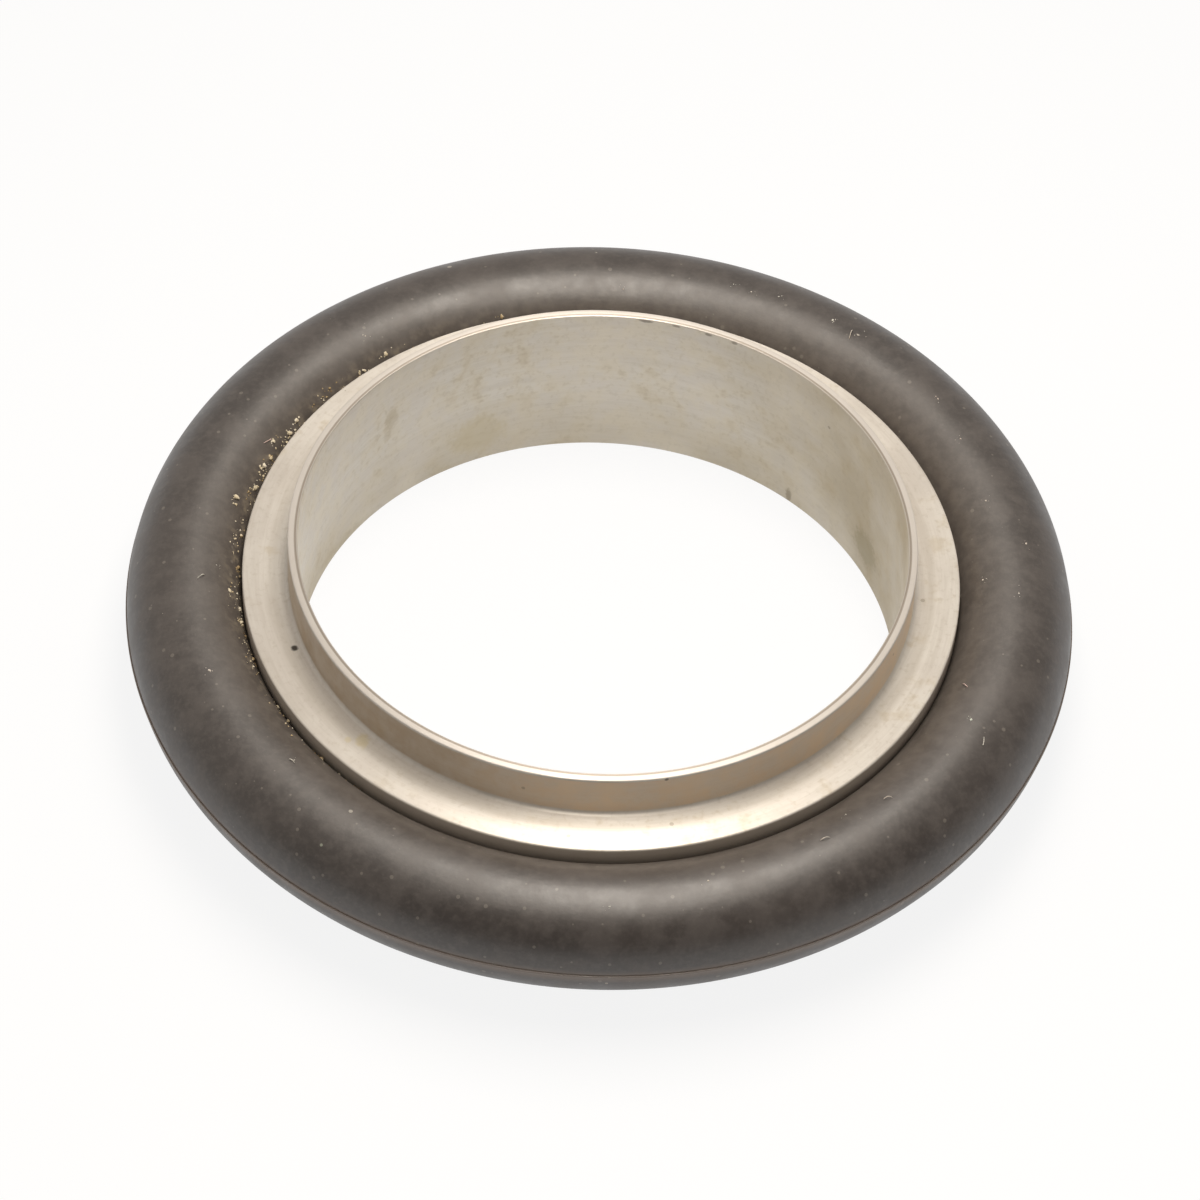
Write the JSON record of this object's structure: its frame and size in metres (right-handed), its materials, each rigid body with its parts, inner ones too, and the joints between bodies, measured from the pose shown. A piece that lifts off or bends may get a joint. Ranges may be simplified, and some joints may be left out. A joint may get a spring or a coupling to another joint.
{
  "type": "vacuum flange centering ring",
  "caption": "Turned steel centering ring with two short spigots and a band that carries a rubber O-ring, for sealing a pair of clamped vacuum flanges.",
  "frame": {"origin": "on the ring's axis, half way between its two rims", "axes": "+Z along the ring's axis, towards the upper rim"},
  "size_m": [0.0396, 0.0396, 0.008],
  "materials": {
    "turned_steel": "fine turned, lightly stained",
    "seal_rubber": "satin, dusty"
  },
  "bodies": {
    "root": {"centering_ring": "turned_steel", "o_ring": "seal_rubber"}
  },
  "joints": []
}
